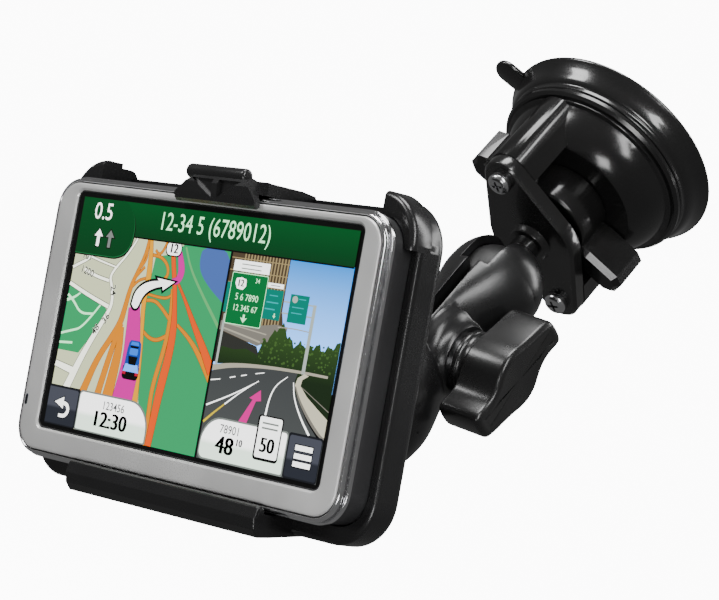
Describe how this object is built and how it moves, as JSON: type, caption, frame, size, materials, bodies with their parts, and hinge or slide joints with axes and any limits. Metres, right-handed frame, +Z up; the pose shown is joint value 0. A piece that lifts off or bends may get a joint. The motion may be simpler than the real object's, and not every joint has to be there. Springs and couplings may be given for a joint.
{
  "type": "portable gps navigator",
  "caption": "Portable in-car navigator held in a snap-in cradle on a double-ball clamp arm with a T knob and a twist-lock suction cup.",
  "frame": {"origin": "centre of the suction cup's sealing face", "axes": "+X to the driver's right across the car, +Y forwards to the windscreen, +Z up; the screen faces -Y"},
  "size_m": [0.1468, 0.1721, 0.1582],
  "materials": {
    "bezel_silver": "satin silver lacquer",
    "bright_trim": "bright",
    "case_black": "fine textured",
    "screen_glass": "gloss",
    "panel": "satin",
    "board_green": "satin",
    "tin": "satin",
    "battery_wrap": "satin",
    "ceramic": "matte",
    "copper_flex": "satin",
    "key_black": "satin",
    "cradle_black": "fine textured, satin",
    "base_black": "powder coat",
    "ball_rubber": "matte",
    "arm_black": "satin composite",
    "knob_black": "satin composite",
    "steel": "zinc plated",
    "brass": "turned",
    "cup_rubber": "glossy",
    "bridge_black": "satin composite"
  },
  "bodies": {
    "mount": {"rubber_cup": "cup_rubber", "flange_ring": "bridge_black", "cup_housing": "bridge_black", "cup_spring": "steel", "cup_base": "base_black", "cup_base_screws": "steel"},
    "lever": {"twist_lever": "bridge_black"},
    "lifter": {"lift_stud": "steel", "stud_nut": "steel"},
    "upper_ball": {"cup_ball_skin": "ball_rubber"},
    "arm": {"arm_far_half": "arm_black", "arm_bolt": "steel", "arm_spring": "steel"},
    "clamp": {"arm_near_half": "arm_black", "knob_washer": "steel"},
    "knob": {"clamp_knob": "knob_black", "knob_insert": "brass"},
    "lower_ball": {"cradle_ball_skin": "ball_rubber"},
    "cradle": {"cradle_base": "base_black", "cradle_base_screws": "steel", "cradle_nuts": "steel", "cradle_tray": "cradle_black", "front_bezel": "bezel_silver", "trim_ring": "bright_trim", "rear_case": "case_black", "touch_glass": "screen_glass", "lcd_panel": "panel", "backlight_unit": "panel", "display_frame": "tin", "main_board": "board_green", "shield_can": "tin", "battery": "battery_wrap", "speaker": "case_black", "gps_antenna": "ceramic", "display_ribbon": "copper_flex", "microphone": "tin", "usb_socket": "tin", "card_slot": "tin", "power_switch": "case_black", "case_screws": "steel"},
    "latch": {"cradle_latch": "cradle_black"},
    "power_key": {"power_button": "key_black"},
    "card": {"memory_card": "case_black"}
  },
  "joints": [
    {"name": "lever_twist", "type": "hinge", "parent": "mount", "child": "lever", "pos_m": [0, -0.02038, -0.02336], "axis": [0, 0.6574, 0.7536], "range_deg": [-100, 0]},
    {"name": "cup_lift", "type": "slide", "parent": "mount", "child": "lifter", "axis": [0, -0.6574, -0.7536], "range_m": [0, 0.002]},
    {"name": "upper_spin", "type": "hinge", "parent": "mount", "child": "upper_ball", "pos_m": [0, -0.0447, -0.05124], "axis": [0, 0.6574, 0.7536], "continuous": true},
    {"name": "upper_swing", "type": "hinge", "parent": "upper_ball", "child": "arm", "pos_m": [0, -0.0447, -0.05124], "axis": [0.9767, 0.1586, -0.1448], "range_deg": [-40, 60]},
    {"name": "knob_turn", "type": "hinge", "parent": "clamp", "child": "knob", "pos_m": [0.01367, -0.06322, -0.07598], "axis": [0.9767, 0.1586, -0.1448], "range_deg": [0, 360]},
    {"name": "clamp_open", "type": "slide", "parent": "arm", "child": "clamp", "axis": [0.9767, 0.1586, -0.1448], "range_m": [0, 0.0013]},
    {"name": "lower_swing", "type": "hinge", "parent": "arm", "child": "lower_ball", "pos_m": [0, -0.08617, -0.09666], "axis": [0.9767, 0.1586, -0.1448], "range_deg": [-15, 100]},
    {"name": "lower_spin", "type": "hinge", "parent": "lower_ball", "child": "cradle", "pos_m": [0, -0.08617, -0.09666], "axis": [0, 1, 0], "continuous": true},
    {"name": "latch_flex", "type": "hinge", "parent": "cradle", "child": "latch", "pos_m": [-0.0239, -0.11997, -0.04836], "axis": [-1, 0, 0], "range_deg": [0, 12], "stiffness_Nm_per_rad": 1},
    {"name": "power_press", "type": "slide", "parent": "cradle", "child": "power_key", "axis": [0, 0, -1], "range_m": [0, 0.0006], "stiffness_N_per_m": 600},
    {"name": "card_eject", "type": "slide", "parent": "cradle", "child": "card", "axis": [-1, 0, 0], "range_m": [0, 0.004]}
  ],
  "couplings": [
    {"joint": "cup_lift", "follows": "lever_twist", "m_per_rad": -0.0011458},
    {"joint": "clamp_open", "follows": "knob_turn", "m_per_rad": 0.00020213}
  ]
}
